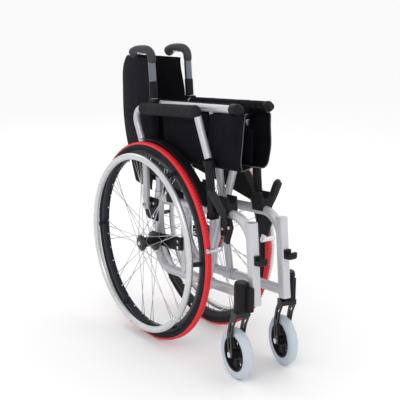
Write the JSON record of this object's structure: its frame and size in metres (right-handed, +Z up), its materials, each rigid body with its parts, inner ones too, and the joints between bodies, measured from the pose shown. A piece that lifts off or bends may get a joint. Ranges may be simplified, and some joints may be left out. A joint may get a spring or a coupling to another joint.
{
  "type": "manual wheelchair",
  "caption": "Folding self-propelled wheelchair, shown folded: cross-braced silver frame, red-tread spoked rear wheels with handrims, casters, flip-back arms and black cloth seat and back.",
  "frame": {"origin": "on the floor, at the centre of the folded chair's box", "axes": "+X to the sitter's left, -Y to the front, +Z up"},
  "size_m": [0.311, 0.765, 0.8741],
  "materials": {
    "frame_silver": "satin powder coat, pale silver",
    "black_metal": "satin black",
    "black_plastic": "moulded black nylon",
    "guard_plastic": "fine grained black",
    "bolt_steel": "bright",
    "grip_rubber": "dark grey, fine grained",
    "tyre_red": "red tread with black sidewalls",
    "rim_black": "satin black",
    "handrim_silver": "satin anodised",
    "hub_black": "gloss black",
    "fork_black": "gloss black",
    "caster_grey": "pale grey solid rubber",
    "lever_black": "black with a plastic grip",
    "pad_foam": "black skinned foam",
    "seat_cloth": "black woven nylon",
    "back_cloth": "black woven nylon"
  },
  "bodies": {
    "left_frame": {"left_side_frame": "frame_silver", "left_axle_bracket": "black_metal", "left_seat_saddles": "black_plastic", "left_caster_housing": "black_plastic", "left_footrest_receiver": "black_plastic", "left_post_brackets": "black_metal", "left_side_guard": "guard_plastic", "left_brake_bracket": "black_metal", "left_frame_bolts": "bolt_steel", "left_axle": "bolt_steel", "left_back_tube": "frame_silver", "left_push_grip": "grip_rubber"},
    "right_frame": {"right_side_frame": "frame_silver", "right_axle_bracket": "black_metal", "right_seat_saddles": "black_plastic", "right_caster_housing": "black_plastic", "right_footrest_receiver": "black_plastic", "right_post_brackets": "black_metal", "right_side_guard": "guard_plastic", "right_brake_bracket": "black_metal", "right_frame_bolts": "bolt_steel", "right_axle": "bolt_steel", "right_back_tube": "frame_silver", "right_push_grip": "grip_rubber"},
    "left_wheel": {"left_tyre": "tyre_red", "left_rim": "rim_black", "left_handrim": "handrim_silver", "left_hub": "hub_black"},
    "left_button": {"left_release_button": "bolt_steel"},
    "left_fork": {"left_caster_fork": "fork_black", "left_caster_bolt": "bolt_steel"},
    "left_caster": {"left_caster_hub": "black_plastic", "left_caster_tyre": "caster_grey"},
    "left_lever": {"left_brake_lever": "lever_black"},
    "left_shoe": {"left_brake_shoe": "bolt_steel"},
    "left_arm": {"left_arm_tube": "frame_silver", "left_arm_pad": "pad_foam"},
    "left_seat": {"left_seat_panel": "seat_cloth"},
    "left_back": {"left_back_panel": "back_cloth"},
    "right_wheel": {"right_tyre": "tyre_red", "right_rim": "rim_black", "right_handrim": "handrim_silver", "right_hub": "hub_black"},
    "right_button": {"right_release_button": "bolt_steel"},
    "right_fork": {"right_caster_fork": "fork_black", "right_caster_bolt": "bolt_steel"},
    "right_caster": {"right_caster_hub": "black_plastic", "right_caster_tyre": "caster_grey"},
    "right_lever": {"right_brake_lever": "lever_black"},
    "right_shoe": {"right_brake_shoe": "bolt_steel"},
    "right_arm": {"right_arm_tube": "frame_silver", "right_arm_pad": "pad_foam"},
    "right_seat": {"right_seat_panel": "seat_cloth"},
    "right_back": {"right_back_panel": "back_cloth"},
    "rear_brace": {"rear_cross_brace": "frame_silver", "right_seat_rail": "frame_silver"},
    "front_brace": {"front_cross_brace": "frame_silver", "left_seat_rail": "frame_silver"},
    "middle_seat": {"middle_seat_strip": "seat_cloth"}
  },
  "joints": [
    {"name": "fold", "type": "hinge", "parent": "left_frame", "child": "rear_brace", "pos_m": [0.05167, -0.1055, 0.22056], "axis": [0, -0.9976, 0.0698], "range_deg": [0, 47.8]},
    {"name": "brace_pivot", "type": "hinge", "parent": "rear_brace", "child": "front_brace", "pos_m": [0, -0.129, 0.47232], "axis": [0, -0.9976, 0.0698], "range_deg": [-95.7, 0]},
    {"name": "right_frame_hinge", "type": "hinge", "parent": "front_brace", "child": "right_frame", "pos_m": [-0.05167, -0.1315, 0.22238], "axis": [0, -0.9976, 0.0698], "range_deg": [0, 47.9]},
    {"name": "left_seat_cloth", "type": "hinge", "parent": "front_brace", "child": "left_seat", "pos_m": [0.05167, 0.0745, 0.70821], "axis": [0, -0.9976, 0.0698], "range_deg": [-30.6, 0]},
    {"name": "right_seat_cloth", "type": "hinge", "parent": "rear_brace", "child": "right_seat", "pos_m": [-0.05167, 0.0745, 0.70821], "axis": [0, -0.9976, 0.0698], "range_deg": [0, 30.6]},
    {"name": "middle_seat_cloth", "type": "hinge", "parent": "left_seat", "child": "middle_seat", "pos_m": [0.00326, 0.0633, 0.54808], "axis": [0, -0.9976, 0.0698], "range_deg": [0, 168.4]},
    {"name": "left_back_cloth", "type": "hinge", "parent": "left_frame", "child": "left_back", "pos_m": [0.064, 0.1205, 0.64], "axis": [0, 0, 1], "range_deg": [0, 55.7]},
    {"name": "right_back_cloth", "type": "hinge", "parent": "right_frame", "child": "right_back", "pos_m": [-0.064, 0.1205, 0.64], "axis": [0, 0, 1], "range_deg": [-55.7, 0]},
    {"name": "left_wheel_spin", "type": "hinge", "parent": "left_frame", "child": "left_wheel", "pos_m": [0.10575, 0.0825, 0.3], "axis": [1, 0, 0], "continuous": true},
    {"name": "left_release", "type": "slide", "parent": "left_frame", "child": "left_button", "axis": [-1, 0, 0], "range_m": [0, 0.003], "stiffness_N_per_m": 600},
    {"name": "left_caster_swivel", "type": "hinge", "parent": "left_frame", "child": "left_fork", "pos_m": [0.0815, -0.3255, 0.2], "axis": [0, 0, 1], "continuous": true},
    {"name": "left_caster_spin", "type": "hinge", "parent": "left_fork", "child": "left_caster", "pos_m": [0.08555, -0.30796, 0.072], "axis": [0.9744, -0.225, 0], "continuous": true},
    {"name": "left_brake", "type": "hinge", "parent": "left_frame", "child": "left_lever", "pos_m": [0.075, -0.2435, 0.425], "axis": [1, 0, 0], "range_deg": [0, 45]},
    {"name": "left_brake_shoe", "type": "hinge", "parent": "left_frame", "child": "left_shoe", "pos_m": [0.075, -0.2355, 0.382], "axis": [1, 0, 0], "range_deg": [-11.3, 0]},
    {"name": "left_armrest", "type": "hinge", "parent": "left_frame", "child": "left_arm", "pos_m": [0.0815, 0.1405, 0.4], "axis": [-1, 0, 0], "range_deg": [0, 45]},
    {"name": "right_wheel_spin", "type": "hinge", "parent": "right_frame", "child": "right_wheel", "pos_m": [-0.10575, 0.0825, 0.3], "axis": [1, 0, 0], "continuous": true},
    {"name": "right_release", "type": "slide", "parent": "right_frame", "child": "right_button", "axis": [1, 0, 0], "range_m": [0, 0.003], "stiffness_N_per_m": 600},
    {"name": "right_caster_swivel", "type": "hinge", "parent": "right_frame", "child": "right_fork", "pos_m": [-0.0815, -0.3255, 0.2], "axis": [0, 0, 1], "continuous": true},
    {"name": "right_caster_spin", "type": "hinge", "parent": "right_fork", "child": "right_caster", "pos_m": [-0.07931, -0.30763, 0.072], "axis": [0.9925, -0.1219, 0], "continuous": true},
    {"name": "right_brake", "type": "hinge", "parent": "right_frame", "child": "right_lever", "pos_m": [-0.075, -0.2435, 0.425], "axis": [1, 0, 0], "range_deg": [0, 45]},
    {"name": "right_brake_shoe", "type": "hinge", "parent": "right_frame", "child": "right_shoe", "pos_m": [-0.075, -0.2355, 0.382], "axis": [1, 0, 0], "range_deg": [-11.3, 0]},
    {"name": "right_armrest", "type": "hinge", "parent": "right_frame", "child": "right_arm", "pos_m": [-0.0815, 0.1405, 0.4], "axis": [-1, 0, 0], "range_deg": [0, 45]}
  ],
  "couplings": [
    {"joint": "brace_pivot", "follows": "fold", "ratio": -2},
    {"joint": "right_frame_hinge", "follows": "fold", "ratio": 1},
    {"joint": "left_seat_cloth", "follows": "fold", "ratio": -0.63807},
    {"joint": "right_seat_cloth", "follows": "fold", "ratio": 0.63807},
    {"joint": "middle_seat_cloth", "follows": "fold", "ratio": 3.5209},
    {"joint": "left_back_cloth", "follows": "fold", "ratio": 1.1632},
    {"joint": "right_back_cloth", "follows": "fold", "ratio": -1.1632},
    {"joint": "left_brake_shoe", "follows": "left_brake", "ratio": -0.25},
    {"joint": "right_brake_shoe", "follows": "right_brake", "ratio": -0.25}
  ]
}
